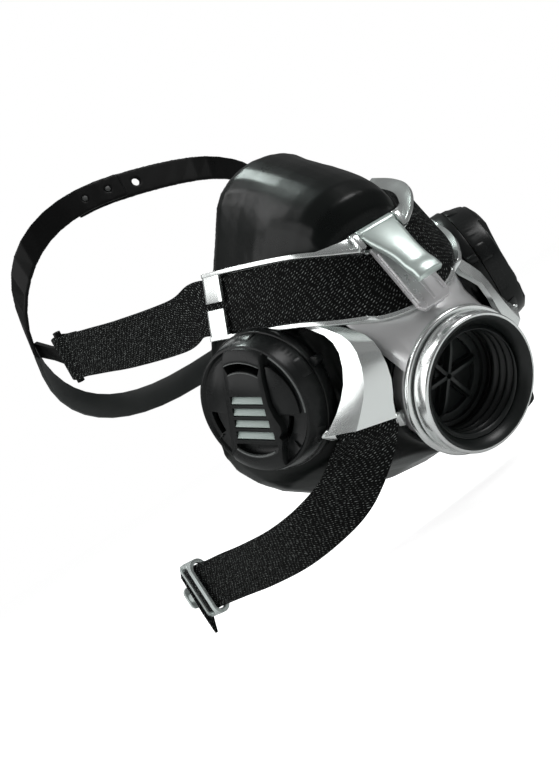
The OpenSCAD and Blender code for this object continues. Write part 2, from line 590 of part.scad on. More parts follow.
// The end of both bands points along Z, so that the crown and the nape share one face
function band_section(p, h, w, in, out) = let (a0 = band_rise(p), a = unit(a0 - h * (a0 * h)), n = unit(cross(h, a)))
    [for (c = [[-1, in], [1, in], [1, out], [-1, out]]) p + a * c[0] * w / 2 + n * c[1]];
overlap_gap = 0.15;
crown_left_end = 110.5;
crown_right_end = 92.5;
peg_turns = [97, 105.5];
open_hole_turn = 89.5;
band_hole_r = peg_r + run_gap;
peg_neck_r = 1.3;
crown_step_in = 60;
function crown_heading(q) = unit(crown_point(min(q + 1, 180)) - crown_point(max(q - 1, 0)));
function crown_shift(q) = (band_t + overlap_gap) * smooth((q - crown_step_in) / (crown_right_end - 8 - crown_step_in));
function inward_at(q) = let (h = crown_heading(q), a0 = band_rise(crown_point(q))) unit(cross(h, unit(a0 - h * (a0 * h))));
module at_crown(q) {
    n = inward_at(q);
    translate(crown_point(q)) rotate([0, acos(n[2]), atan2(n[1], n[0])]) children();
}
module crown_run(from, to, w, steps, shifted) loft([for (k = [0:steps])
    let (q = from + (to - from) * k / steps, s = shifted ? crown_shift(q) : 0)
    band_section(crown_point(q), crown_heading(q), w, s - band_t, s)]);
module crown_band_right() color([0.08, 0.08, 0.09]) difference() {
    crown_run(crown_right_end, 180, band_w - 1, 12, false);
    for (q = peg_turns) at_crown(q) cylinder(r = peg_neck_r + fit_gap, h = 12, center = true);
}
module crown_band_left() color([0.08, 0.08, 0.09]) difference() {
    crown_run(0, crown_left_end, band_w, 16, true);
    for (q = concat(peg_turns, [open_hole_turn])) at_crown(q) cylinder(r = band_hole_r, h = 12, center = true);
}
peg_head_r = peg_r + 0.7;
peg_head_t = 0.9;
peg_end_t = 0.3;
module crown_pegs() color([0.2, 0.2, 0.2]) for (q = peg_turns) at_crown(q) {
    translate([0, 0, -band_t - peg_end_t]) cylinder(r = peg_neck_r, h = band_t + peg_end_t + 0.1);
    translate([0, 0, fit_gap]) cylinder(r = peg_r, h = band_t + 2 * overlap_gap);
    translate([0, 0, band_t + 2 * overlap_gap]) cylinder(r = peg_head_r, h = peg_head_t);
}
module nape_band() color([0.1, 0.11, 0.11]) loft([for (k = [0:24]) let (q = 180 * k / 24,
    h = unit(nape_point(min(q + 1, 180)) - nape_point(max(q - 1, 0))))
    band_section(nape_point(q), h, band_w, 0, band_t)]);

// Anchor: a cross bar held in the strap's sewn loop, on a flat stem from the cradle
stem_wide = 9;
stem_t = 2;
junction = crown_point(0) + inward_at(0) * (stem_t / 2 + soft_gap);
stem_dir = unit(junction - tee_at);
module anchor() color([0.08, 0.08, 0.09]) union() {
    along_tee() cylinder(r = tee_r, h = strap_w + 2 * tee_over, center = true);
    loft([for (c = [[tee_at, stem_wide, tee_dir], [mix(tee_at, junction, 0.5), stem_wide - 2, tee_dir],
        [junction, stem_wide - 1, crown_heading(0)]])
        let (a = unit(c[2] - stem_dir * (c[2] * stem_dir)), n = cross(stem_dir, a))
        [for (d = [[-1, -1], [1, -1], [1, 1], [-1, 1]]) c[0] + a * d[0] * c[1] / 2 + n * d[1] * stem_t / 2]]);
}

// ---- neck straps and clasp -------------------------------------------------
hook_bar_r = 1.5;
hook_turn = -15.2;
loop_r = hook_bar_r + run_gap + loop_wall;
strap_end = [80.6, 104, -66];
neck_dir = [sin(-hook_turn), cos(hook_turn), 0];
hook_at = strap_end + neck_dir * (hook_bar_r + 1);
neck_route = [bar_mid + [0.1, 0.35, -0.93] * (bar_r + 1), [40, -23.5, -48], [47.5, -11, -56.5],
    [56, 4.5, -61.5], [63.5, 27, -64.8], [69.5, 54.5, -66], [74.2, 79, -66], strap_end];
neck_steps = 16;
module at_hook() translate(hook_at) rotate([0, 0, hook_turn]) children();
module neck_strap() color([0.07, 0.07, 0.07]) difference() {
    union() {
        woven(neck_route, -bar_dir, [0, 0, 1], neck_steps);
        along_bar() cylinder(r = bar_r + run_gap + loop_wall, h = strap_w, center = true);
        at_hook() cylinder(r = loop_r, h = strap_w, center = true);
    }
    along_bar() cylinder(r = bar_r + run_gap, h = strap_w + 2, center = true);
    at_hook() cylinder(r = hook_bar_r + run_gap, h = strap_w + 2, center = true);
}

ring_half = 13.6;
ring_wide = 4.2;
ring_wall = 1.8;
ring_front = -7;
ring_t = 2.6;
bridge_in = 3.5;
bridge_t = 1.6;
module stadium(half, wide) {
    square([2 * wide, 2 * (half - wide)], center = true);
    for (end = [-1, 1]) translate([0, end * (half - wide)]) circle(r = wide);
}
// Oval frame that the strap passes through, with the bar that its end is looped round
module clasp_frame() at_hook() {
    translate([0, ring_front, 0]) rotate([-90, 0, 0]) linear_extrude(ring_t) difference() {
        stadium(ring_half, ring_wide);
        stadium(ring_half - ring_wall, ring_wide - ring_wall + 0.6);
    }
    for (end = [-1, 1]) translate([-1.3, ring_front + ring_t / 2, end * (ring_half - 1) - 0.9])
        cube([2.6, bridge_in + bridge_t - ring_front - ring_t / 2, 1.8]);
    cylinder(r = hook_bar_r, h = 2 * ring_half - 2, center = true);
    translate([0, bridge_in, 0]) rotate([-90, 0, 0]) linear_extrude(bridge_t) stadium(ring_half - 0.2, 2.4);
}
stud_len = 8;
stud_low = 2;
stud_r = 2.4;
stud_head = 5.4;
head_t = 1.5;
module hook_frame() color([0.75, 0.8, 0.79]) clasp_frame();

// Woven end of the right strap, folded over the frame's bridge and held by the hook's stud
tab_t = 1.4;
module strap_tab() color([0.07, 0.07, 0.07]) at_hook() translate([0, bridge_in + bridge_t, 0]) rotate([-90, 0, 0])
    linear_extrude(tab_t) difference() {
        polygon([[-2.8, -11], [0.5, -13], [3, -9], [3.6, 10], [3.4, 20.5], [2.4, 20.5], [-0.6, 12.5], [-3, 9]]);
        translate([0, stud_low]) circle(r = stud_r + fit_gap);
    }
module tee_hook() color([0.75, 0.8, 0.79]) at_hook() translate([0, bridge_in + bridge_t, -stud_low])
    rotate([-90, 0, 0]) {
    cylinder(r = stud_r, h = stud_len);
    translate([0, 0, stud_len - head_t]) linear_extrude(head_t) stadium(stud_head, 2.9);
}
catch_reach = 8;
module catch_loop() color([0.75, 0.8, 0.79]) union() {
    clasp_frame();
    at_hook() translate([0, bridge_in + bridge_t - 0.1, 0]) rotate([-90, 0, 0]) difference() {
        linear_extrude(catch_reach) stadium(stud_head + 4, 5.4);
        translate([0, 0, 1.5]) linear_extrude(catch_reach - 3.3) stadium(stud_head + 2.4, 3.8);
        translate([-8, -stud_head - 0.6, 1.5]) cube([16, 2 * stud_head + 1.2, catch_reach - 3.3]);
        linear_extrude(catch_reach + 1) intersection() {
            stadium(stud_head + 0.5, 3.2);
            square([7, 20], center = true);
        }
    }
}

facepiece();
strap_channel();
neck_cowl();
left_side() side_leg();  // side_leg_left
right_side() side_leg();  // side_leg_right
left_side() lower_bar();  // lower_bar_left
right_side() lower_bar();  // lower_bar_right
thread_liner();
front_ring();
groove_seal();
rear_ring();
thread_gasket();
inhale_spider();
inhale_flap();
inhale_button();
retaining_ring();
clamp_plate();
latch_lever();
latch_pin();
left_side() valve_housing();  // valve_housing_left
right_side() valve_housing();  // valve_housing_right
left_side() exhale_seat();  // exhale_seat_left
right_side() exhale_seat();  // exhale_seat_right
left_side() exhale_flap();  // exhale_flap_left
right_side() exhale_flap();  // exhale_flap_right
left_side() valve_cover();  // valve_cover_left
right_side() valve_cover();  // valve_cover_right
left_side() louvre();  // louvre_left
right_side() louvre();  // louvre_right
front_strap();
left_side() rear_strap();  // rear_strap_left
right_side() rear_strap();  // rear_strap_right
left_side() anchor();  // anchor_left
right_side() anchor();  // anchor_right
crown_band_left();
crown_band_right();
crown_pegs();
nape_band();
left_side() neck_strap();  // neck_strap_left
right_side() neck_strap();  // neck_strap_right
right_side() hook_frame();
right_side() strap_tab();
right_side() tee_hook();
left_side() catch_loop();
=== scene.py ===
"""Half-mask respirator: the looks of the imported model.

The model stands at the origin as the frame gives it. The script goes through the mask as it is
put together: cup, yoke, screw connector, inhalation valve, latch, exhalation valves, straps,
head cradle and neck clasp. The camera, the lamps and the floor come first.
"""

import math

import bmesh
import bpy
from mathutils import Matrix, Vector


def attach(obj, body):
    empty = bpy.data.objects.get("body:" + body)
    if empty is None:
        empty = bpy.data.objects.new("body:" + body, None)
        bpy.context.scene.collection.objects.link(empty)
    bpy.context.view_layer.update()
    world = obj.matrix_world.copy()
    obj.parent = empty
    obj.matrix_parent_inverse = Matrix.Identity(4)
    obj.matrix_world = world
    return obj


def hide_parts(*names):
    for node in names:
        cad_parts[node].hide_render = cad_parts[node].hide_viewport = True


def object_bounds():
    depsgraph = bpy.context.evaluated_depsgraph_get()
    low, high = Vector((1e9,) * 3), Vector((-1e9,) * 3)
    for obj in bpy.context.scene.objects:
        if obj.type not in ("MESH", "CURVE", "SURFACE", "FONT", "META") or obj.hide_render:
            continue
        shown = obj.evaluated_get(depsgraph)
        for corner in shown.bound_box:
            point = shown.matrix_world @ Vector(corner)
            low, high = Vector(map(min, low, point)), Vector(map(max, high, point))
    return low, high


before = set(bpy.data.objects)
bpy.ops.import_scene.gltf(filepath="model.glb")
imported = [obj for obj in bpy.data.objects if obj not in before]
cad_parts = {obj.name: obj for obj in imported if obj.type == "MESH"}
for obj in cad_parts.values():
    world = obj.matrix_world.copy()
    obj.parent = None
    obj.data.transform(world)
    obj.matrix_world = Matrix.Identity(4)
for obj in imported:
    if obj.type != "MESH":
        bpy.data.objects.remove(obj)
cad_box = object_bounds()

# ---- View, lamps and floor --------------------------------------------------
# The mask is seen from its right front, a little above the valves, with the camera rolled as a
# hand would hold it. Large soft lamps stand on both sides, and the floor is plain and pale.
eye = Vector((-0.20562, -0.38178, -0.01732))
view_right = Vector((0.7742, -0.3226, -0.5446))
view_up = Vector((0.4961, -0.2250, 0.8386))
view_back = Vector((-0.3931, -0.9194, -0.0142))

bpy.context.scene.view_settings.view_transform = "Standard"
camera_data = bpy.data.cameras.new("studio_camera")
camera_data.sensor_width = 36.0
camera_data.lens = 50.5747
camera_data.clip_start = 0.01
camera = bpy.data.objects.new("studio_camera", camera_data)
camera.matrix_world = Matrix((
    (view_right.x, view_up.x, view_back.x, eye.x),
    (view_right.y, view_up.y, view_back.y, eye.y),
    (view_right.z, view_up.z, view_back.z, eye.z),
    (0, 0, 0, 1),
))
bpy.context.scene.collection.objects.link(camera)
bpy.context.scene.camera = camera

middle = Vector((0, 0.02, 0))
floor_gap = 0.0005


def softbox(name, right, up, back, width, height, power, tint=(1, 1, 1)):
    """A rectangular lamp that faces the mask, placed along the view's own directions."""
    data = bpy.data.lights.new(name, "AREA")
    data.shape = "RECTANGLE"
    data.size = width
    data.size_y = height
    data.energy = power
    data.color = tint
    lamp = bpy.data.objects.new(name, data)
    place = middle + view_right * right + view_up * up + view_back * back
    turn = (middle - place).to_track_quat("-Z", "Y")
    lamp.matrix_world = Matrix.Translation(place) @ turn.to_matrix().to_4x4()
    bpy.context.scene.collection.objects.link(lamp)


softbox("key_lamp", -0.46, 0.82, -0.34, 0.12, 0.12, 2.1, (0.88, 1.0, 0.96))
softbox("streak_lamp", -0.82, 0.56, -0.10, 0.10, 0.5, 1.6)
softbox("left_panel", -0.95, -0.05, 0.28, 0.8, 0.9, 4.6)
softbox("top_lamp", 0.25, 0.9, 0.30, 0.35, 0.3, 3.0)
softbox("right_panel", 0.9, 0.0, 0.3, 0.25, 0.8, 1.5)

# The room lights the mask softly from above and looks plain white to the camera
world = bpy.data.worlds.new("studio")
world.use_nodes = True
bpy.context.scene.world = world
world_nodes = world.node_tree.nodes
world_nodes.clear()
world_out = world_nodes.new("ShaderNodeOutputWorld")
seen = world_nodes.new("ShaderNodeBackground")
seen.inputs["Color"].default_value = (1, 1, 1, 1)
room = world_nodes.new("ShaderNodeBackground")
room.inputs["Strength"].default_value = 0.22
direction = world_nodes.new("ShaderNodeTexCoord")
split = world_nodes.new("ShaderNodeSeparateXYZ")
shade = world_nodes.new("ShaderNodeValToRGB")
shade.color_ramp.elements[0].position = 0.0
shade.color_ramp.elements[0].color = (0.12, 0.13, 0.13, 1)
shade.color_ramp.elements[1].position = 1.0
shade.color_ramp.elements[1].color = (1, 1, 1, 1)
lift = world_nodes.new("ShaderNodeMath")
lift.operation = "MULTIPLY_ADD"
lift.inputs[1].default_value = 0.5
lift.inputs[2].default_value = 0.5
path = world_nodes.new("ShaderNodeLightPath")
either = world_nodes.new("ShaderNodeMixShader")
wire = world.node_tree.links.new
wire(direction.outputs["Generated"], split.inputs[0])
wire(split.outputs["Z"], lift.inputs[0])
wire(lift.outputs[0], shade.inputs["Fac"])
wire(shade.outputs["Color"], room.inputs["Color"])
wire(path.outputs["Is Camera Ray"], either.inputs[0])
wire(room.outputs[0], either.inputs[1])
wire(seen.outputs[0], either.inputs[2])
wire(either.outputs[0], world_out.inputs["Surface"])

# The floor keeps the mask's shadow and glows a little to the camera, as a lit sheet does
floor_mesh = bpy.data.meshes.new("floor")
floor = bpy.data.objects.new("floor", floor_mesh)
bpy.context.scene.collection.objects.link(floor)
floor_form = bmesh.new()
bmesh.ops.create_grid(floor_form, x_segments=4, y_segments=4, size=6,
                      matrix=Matrix.Translation((0, 0, cad_box[0][2] - floor_gap)))
floor_form.to_mesh(floor_mesh)
floor_form.free()
floor_finish = bpy.data.materials.new("floor_white")
floor_finish.use_nodes = True
floor_nodes = floor_finish.node_tree.nodes
floor_nodes.clear()
floor_out = floor_nodes.new("ShaderNodeOutputMaterial")
floor_matt = floor_nodes.new("ShaderNodeBsdfDiffuse")
floor_matt.inputs["Color"].default_value = (0.82, 0.82, 0.82, 1)
floor_glow = floor_nodes.new("ShaderNodeEmission")
floor_sum = floor_nodes.new("ShaderNodeAddShader")
floor_path = floor_nodes.new("ShaderNodeLightPath")
floor_lift = floor_nodes.new("ShaderNodeMath")
floor_lift.operation = "MULTIPLY"
floor_lift.inputs[1].default_value = 0.84
wire = floor_finish.node_tree.links.new
wire(floor_path.outputs["Is Camera Ray"], floor_lift.inputs[0])
wire(floor_lift.outputs[0], floor_glow.inputs["Strength"])
wire(floor_matt.outputs[0], floor_sum.inputs[0])
wire(floor_glow.outputs[0], floor_sum.inputs[1])
wire(floor_sum.outputs[0], floor_out.inputs["Surface"])
floor_mesh.materials.append(floor_finish)

# ---- Facepiece --------------------------------------------------------------
# The cup is one moulding in soft dark rubber, with a lip that turns in against the face. It has
# the satin skin that the mould leaves, a little bloom, and no sharp edge anywhere.
rubber_dark = (0.0020, 0.0028, 0.0026)
rubber_bloom = (0.0055, 0.0072, 0.0066)
cup_skin = 0.0009
seam_gap = 2e-6


class Reading:
    """One output of a material's nodes. Arithmetic on it adds Math nodes."""

    def __init__(self, socket):
        self.socket = socket

    def node(self, kind, settings=None, feeds=None, output=0):
        """Adds a node: its settings first, then the values or readings of its sockets."""
        tree = self.socket.id_data
        made = tree.nodes.new(kind)
        for name, setting in (settings or {}).items():
            setattr(made, name, setting)
        for name, value in (feeds or {}).items():
            if isinstance(value, Reading):
                tree.links.new(value.socket, made.inputs[name])
            else:
                made.inputs[name].default_value = value
        return Reading(made.outputs[output])

    def math(self, operation, first, second):
        """A Math node with this operation on two readings or numbers."""
        return self.node("ShaderNodeMath", {"operation": operation}, {0: first, 1: second})

    def __add__(self, other):
        return self.math("ADD", self, other)

    def __sub__(self, other):
        return self.math("SUBTRACT", self, other)

    def __mul__(self, other):
        return self.math("MULTIPLY", self, other)

    def wave(self):
        """The sine of this reading."""
        return self.node("ShaderNodeMath", {"operation": "SINE"}, {0: self})

    def noise(self, scale, detail=3.0):
        """Cloudy variation, with that many lumps to a metre."""
        return self.node("ShaderNodeTexNoise", None, {"Vector": self, "Scale": scale, "Detail": detail})

    def between(self, low, high, first, last):
        """This reading taken from the range low to high into the range first to last."""
        return self.node("ShaderNodeMapRange", None, {
            "Value": self, "From Min": low, "From Max": high, "To Min": first, "To Max": last})

    def tint(self, low, high):
        """A colour from low at 0 to high at 1."""
        return self.node("ShaderNodeMix", {"data_type": "RGBA"}, {
            0: self, 6: (*low, 1), 7: (*high, 1)}, output=2)

    def relief(self, strength, depth):
        """The normal of a surface that this reading raises."""
        return self.node("ShaderNodeBump", None, {"Height": self, "Strength": strength, "Distance": depth})


def new_finish(name, **constants):
    """A material with its constants set, its shader and the Object coordinates to start from."""
    material = bpy.data.materials.new(name)
    material.use_nodes = True
    shader = material.node_tree.nodes["Principled BSDF"]
    for socket, value in constants.items():
        shader.inputs[socket.replace("_", " ")].default_value = value
    start = material.node_tree.nodes.new("ShaderNodeTexCoord")
    return material, shader, Reading(start.outputs["Object"])


def feed(shader, **readings):
    """Links readings into the shader's sockets."""
    for socket, reading in readings.items():
        reading.socket.id_data.links.new(reading.socket, shader.inputs[socket.replace("_", " ")])


def new_piece(name, form, material, body, slot, *nodes):
    """A mesh piece that stands for CAD nodes and rides on their body."""
    mesh = bpy.data.meshes.new(name)
    form.to_mesh(mesh)
    form.free()
    piece = bpy.data.objects.new(name, mesh)
    bpy.context.scene.collection.objects.link(piece)
    mesh.materials.append(material)
    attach(piece, body)
    if nodes:
        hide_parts(*nodes)
    return piece


def joined_copy(node):
    """The CAD node's faces as one joined skin."""
    form = bmesh.new()
    form.from_mesh(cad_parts[node].data)
    bmesh.ops.remove_doubles(form, verts=form.verts, dist=seam_gap)
    bmesh.ops.dissolve_degenerate(form, edges=form.edges, dist=seam_gap / 2)
    return form


def even_skin(piece, step, rounds):
    """Remeshes a piece into even faces and rounds its edges off."""
    remesh = piece.modifiers.new("even", "REMESH")
    remesh.mode = "VOXEL"
    remesh.voxel_size = step
    remesh.use_smooth_shade = True
    rounding = piece.modifiers.new("round", "SMOOTH")
    rounding.iterations = rounds
    rounding.factor = 0.5


rubber, shader, place = new_finish("rubber", Specular_IOR_Level=0.18)
cloud = place.noise(38.0)
pores = place.noise(2600.0, 2.0)
feed(shader, Base_Color=(cloud * 0.8 + pores * 0.2).tint(rubber_dark, rubber_bloom),
     Roughness=cloud.between(0.3, 0.7, 0.23, 0.31) + pores * 0.04,
     Normal=(pores * 0.3 + place.noise(240.0)).relief(0.12, 0.0004))
cup = new_piece("rubber_cup", joined_copy("facepiece"), rubber, "mask", "rubber", "facepiece")
even_skin(cup, cup_skin, 6)

# ---- Yoke -------------------------------------------------------------------
# The yoke is a bright plated plastic frame. A channel carries the front strap between its two
# flanges, two legs run down to the lower strap bars, and a satin cowl covers the connector neck.
plate_pale = (0.93, 0.955, 0.945)
plate_deep = (0.78, 0.82, 0.805)
cowl_pale = (0.80, 0.795, 0.80)
cowl_deep = (0.68, 0.675, 0.68)
steel_pale = (0.78, 0.79, 0.79)
steel_deep = (0.62, 0.63, 0.63)
mirrored = Matrix.Diagonal((-1, 1, 1))

# The strap, the line of its channel and the channel's walls
strap_w = 0.0215
strap_t = 0.0016
front_tilt = math.radians(13.3)
front_at = Vector((0, -0.054, -0.0015))
front_frame = Matrix.Translation(front_at) @ Matrix.Rotation(-front_tilt, 4, "X")
front_rise = Vector((0, math.sin(front_tilt), math.cos(front_tilt)))
channel_lean = Vector((-0.42, -0.355, 0.835))
channel_path = [Vector(p) / 1000 for p in (
    (0, -54, -1.5), (11, -52, 0.7), (22, -46.5, 6.8), (31.5, -36, 14.5), (39.5, -18.5, 22), (46.5, 3, 29.5))]
channel_cuts = 90
channel_half = 0.0128
channel_floor = -0.00205
channel_back = -0.00355
flange_t = 0.0016
lip_low = 0.0015
lip_rise = 0.0027
dip_end = 0.24
dip_run = 0.05
plate_edge = 0.00035

# The guides at its ends, the headstock walls and the ears of the lever's pin
guide_shares = (0.905, 0.92, 0.935, 0.95, 0.965, 0.98, 0.993)
guide_near = 0.0013
guide_far = 0.0125
guide_inner = 0.0005
guide_outer = 0.0021
head_share = 0.215
head_run = 0.315
head_high = 0.0092
head_fall = 0.0082
head_t = 0.002
pin_y = -0.0017
pin_z = 0.0194
ear_r = 0.0024
ear_foot = 0.0145
ear_back = -0.0041
ear_front = 0.0044
ear_sides = (0.0086, 0.011)

# The round room that the collar of the left valve takes
valve_at = Vector((0.0633, -0.0156, -0.012))
valve_frame = (Matrix.Translation(valve_at) @ Matrix.Rotation(math.radians(64), 4, "Z")
               @ Matrix.Rotation(math.radians(90), 4, "X"))
collar_room = 0.0269
collar_from = -0.0167
collar_to = 0.014

# The steel bar at the foot of the left leg
bar_dir = Vector((-0.72, -0.61, -0.33)).normalized()
bar_mid = Vector((0.0352, -0.0328, -0.0386))
bar_r = 0.0016


def knot(a, b, c, d, t):
    """A point between b and c on the smooth curve through four points."""
    bend = (2 * a - 5 * b + 4 * c - d) * t * t
    return 0.5 * ((2 * b) + (c - a) * t + bend + (3 * b - a - 3 * c + d) * t ** 3)


def curve_at(points, u):
    """A point of the smooth curve through points, at the share u of its way."""
    last = len(points) - 1
    i = min(int(u * last), last - 1)
    return knot(points[max(i - 1, 0)], points[i], points[i + 1], points[min(i + 2, last)], u * last - i)


def heading_at(points, u, step):
    """The curve's direction at the share u, read over a short step to both sides."""
    return (curve_at(points, min(u + step, 1)) - curve_at(points, max(u - step, 0))).normalized()


def ease(t):
    """Goes from 0 to 1 with a soft start and end, and stays there outside."""
    t = min(max(t, 0), 1)
    return t * t * (3 - 2 * t)


def channel_station(u):
    """Place on the strap's face, width, face and heading directions, from the front to a guide."""
    heading = heading_at(channel_path, u, 0.01) if u > 0.01 else Vector((1, 0, 0))
    rise = front_rise.lerp(channel_lean, u ** 1.2).normalized()
    side = (rise - heading * rise.dot(heading)).normalized()
    return curve_at(channel_path, u), side, heading.cross(side).normalized(), heading


def soften(form, width, turn=32, rings=2):
    """Gives every edge that turns more than that a small radius, and shades the rest smooth."""
    bmesh.ops.recalc_face_normals(form, faces=form.faces)
    hard = [e for e in form.edges if e.is_manifold and e.calc_face_angle(0) > math.radians(turn)]
    bmesh.ops.bevel(form, geom=hard, offset=width, offset_type="OFFSET", affect="EDGES",
                    segments=rings, profile=0.5, material=-1, clamp_overlap=True)
    for face in form.faces:
        face.smooth = True
    for edge in form.edges:
        edge.smooth = not (edge.is_manifold and edge.calc_face_angle(0) > math.radians(turn))


def broken_edges(node, width, material, slot, body, turn=32, rings=2):
    """A copy of a CAD node whose hard edges have a small radius."""
    form = joined_copy(node)
    bmesh.ops.dissolve_limit(form, angle_limit=math.radians(0.6), verts=form.verts, edges=form.edges)
    bmesh.ops.triangulate(form, faces=[f for f in form.faces if len(f.verts) > 12])
    soften(form, width, turn, rings)
    return new_piece(node + "_finished", form, material, body, slot, node)


def draw(form, sections):
    """Joins one closed section to the next into a solid, and returns its rows of points."""
    rows = [[form.verts.new(point) for point in points] for points in sections]
    for near, far in zip(rows, rows[1:]):
        for i in range(len(near)):
            j = (i + 1) % len(near)
            form.faces.new((near[i], near[j], far[j], far[i]))
    form.faces.new(rows[0])
    form.faces.new(rows[-1])
    return rows


def moulded(name, pale, deep, rough, grain, depth, **constants):
    """A moulded or plated finish: drifting tone, uneven gloss and a fine surface grain."""
    material, shader, place = new_finish(name, **constants)
    drift = place.noise(60.0)
    fine = place.noise(grain, 2.0)
    feed(shader, Base_Color=(drift * 0.75 + fine * 0.25).tint(deep, pale),
         Roughness=drift.between(0.3, 0.7, rough - 0.04, rough + 0.05) + fine * 0.03,
         Normal=fine.relief(depth, 0.0002))
    return material


def channel_point(u, w, n):
    """A point of the channel's cross section: w up the strap's width, n out of its face."""
    centre, side, face, _ = channel_station(abs(u))
    point = centre + side * w + face * n
    return mirrored @ point if u < 0 else point


def clear_of_valves(form):
    """Moves points out of the round room that each valve takes."""
    into = valve_frame.inverted()
    for flip in (1, -1):
        for vert in form.verts:
            spot = into @ Vector((vert.co.x * flip, vert.co.y, vert.co.z))
            reach = math.hypot(spot.x, spot.y)
            if collar_from < spot.z < collar_to and reach < collar_room:
                out = collar_room / reach
                spot = valve_frame @ Vector((spot.x * out, spot.y * out, spot.z))
                vert.co = Vector((spot.x * flip, spot.y, spot.z))


silver = moulded("silver", plate_pale, plate_deep, 0.18, 900.0, 0.008, Metallic=0.9)
housing_grey = moulded("housing_grey", cowl_pale, cowl_deep, 0.30, 1500.0, 0.02, Metallic=0.45)
bar_steel = moulded("bar_steel", steel_pale, steel_deep, 0.18, 1200.0, 0.01, Metallic=1.0)

# The channel with its two flanges, which dip in front under the clamp plate
yoke = bmesh.new()
channel_rows = []
for k in range(-channel_cuts, channel_cuts + 1):
    u = k / channel_cuts
    lip = channel_floor + lip_low + lip_rise * ease((abs(u) - dip_end) / dip_run)
    channel_rows.append([channel_point(u, w, n) for w, n in (
        (-channel_half, channel_back), (channel_half, channel_back), (channel_half, lip),
        (channel_half - flange_t, lip), (channel_half - flange_t, channel_floor),
        (flange_t - channel_half, channel_floor), (flange_t - channel_half, lip), (-channel_half, lip))])
draw(yoke, channel_rows)
clear_of_valves(yoke)
# Guides, headstock walls and the ears that hold the lever's pin, on both sides
for flip in (1, -1):
    for low, high in ((guide_near, guide_far), (-guide_far, -guide_near)):
        draw(yoke, [[channel_point(flip * u, w, n) for w, n in (
            (low, guide_inner), (high, guide_inner), (high, guide_outer), (low, guide_outer))]
            for u in guide_shares])
    wall = []
    for k in range(13):
        u = head_share + head_run * k / 12
        _, _, face, _ = channel_station(u)
        foot = channel_point(u, channel_half - 0.001, channel_back + 0.0001)
        rise = front_rise * (head_high - head_fall * (k / 12) ** 0.9)
        wall.append([Matrix.Diagonal((flip, 1, 1)) @ p for p in (
            foot, foot + rise, foot + rise + face * head_t, foot + face * head_t)])
    draw(yoke, wall)
    ear = [(ear_back, ear_foot), (ear_front, ear_foot), (ear_front, pin_z)]
    ear += [(pin_y + ear_r * math.cos(math.pi * k / 12), pin_z + ear_r * math.sin(math.pi * k / 12))
            for k in range(13)]
    draw(yoke, [[front_frame @ Vector((flip * x, y, z)) for y, z in ear] for x in ear_sides])
soften(yoke, plate_edge)
new_piece("yoke_channel", yoke, silver, "mask", "silver", "strap_channel")

# A leg on each side with the two cheeks that hold its steel bar
for side in ("left", "right"):
    broken_edges("side_leg_" + side, 0.0003, silver, "silver", "mask", turn=13)
    broken_edges("lower_bar_" + side, 0.0002, bar_steel, "bar_steel", "mask")
broken_edges("neck_cowl", 0.0003, housing_grey, "housing_grey", "mask")

# ---- Screw connector --------------------------------------------------------
# The filter screws into a dark round-threaded insert. A bright trim ring and a second one behind
# it hold the insert in the neck, and a black band fills the groove between them as painted shade.
connector_at = Vector((0, -0.055, -0.048))
connector_frame = Matrix.Translation(connector_at) @ Matrix.Rotation(math.radians(115), 4, "X")
bore_r = 0.0203
bore_len = 0.017
lead_in = 0.0042
insert_r = 0.0218
insert_end = 0.021
insert_lip_r = 0.02366
insert_lip_t = 0.0015
seat_step = 0.019
thread_pitch = 0.003629
thread_depth = 0.0016
thread_wall = 0.0004
ring_r = 0.02496
ring_front = 0.0003
ring_end = 0.0062
rear_r = 0.02696
rear_front = 0.00735
rear_end = 0.00985
sleeve_r = 0.02186
insert_pale = (0.014, 0.017, 0.0165)
insert_deep = (0.008, 0.010, 0.0095)
ring_pale = (0.93, 0.945, 0.94)
ring_deep = (0.80, 0.83, 0.82)


def turned(name, outline, width, material, slot, body, *nodes):
    """A round piece, turned on the connector's axis from an outline of radii and depths."""
    form = bmesh.new()
    row = [form.verts.new((r, 0, -s)) for r, s in outline]
    line = [form.edges.new((row[i], row[(i + 1) % len(row)])) for i in range(len(row))]
    bmesh.ops.spin(form, geom=row + line, cent=(0, 0, 0), axis=(0, 0, 1), angle=math.tau, steps=160,
                   use_merge=True)
    soften(form, width, 24)
    form.transform(connector_frame)
    return new_piece(name, form, material, body, slot, *nodes)


thread_plastic = moulded("thread_plastic", insert_pale, insert_deep, 0.30, 1500.0, 0.05,
                         Specular_IOR_Level=0.4)
ring_metal = moulded("ring_metal", ring_pale, ring_deep, 0.20, 700.0, 0.005, Metallic=0.97)
seal_rubber = moulded("seal_rubber", (0.005, 0.005, 0.005), (0.003, 0.003, 0.003), 0.5, 1800.0, 0.2)
turned("filter_insert",
       [(insert_lip_r, 0), (0.0232, 0), (0.0215, 0.0016), (bore_r, lead_in), (bore_r, bore_len),
        (0.0208, bore_len), (0.0208, seat_step), (0.0172, seat_step), (0.0172, insert_end),
        (insert_r, insert_end), (insert_r, insert_lip_t), (insert_lip_r, insert_lip_t)],
       0.00025, thread_plastic, "thread_plastic", "mask", "thread_liner")
turned("trim_ring",
       [(insert_lip_r + 0.00005, ring_front), (ring_r - 0.0005, ring_front), (ring_r, 0.0009),
        (ring_r + 0.0005, ring_end), (sleeve_r, ring_end), (sleeve_r, insert_lip_t + 0.00005),
        (insert_lip_r + 0.00005, insert_lip_t + 0.00005)],
       0.00015, ring_metal, "ring_metal", "mask", "front_ring")
turned("neck_ring", [(sleeve_r, rear_front), (rear_r - 0.0006, rear_front), (rear_r, 0.0079),
                     (rear_r, rear_end), (sleeve_r, rear_end)],
       0.00015, ring_metal, "ring_metal", "mask", "rear_ring")
# A black band fills the groove between the two rings: painted shade of the groove
groove_from = ring_end + 0.00005
groove_to = rear_front - 0.00005
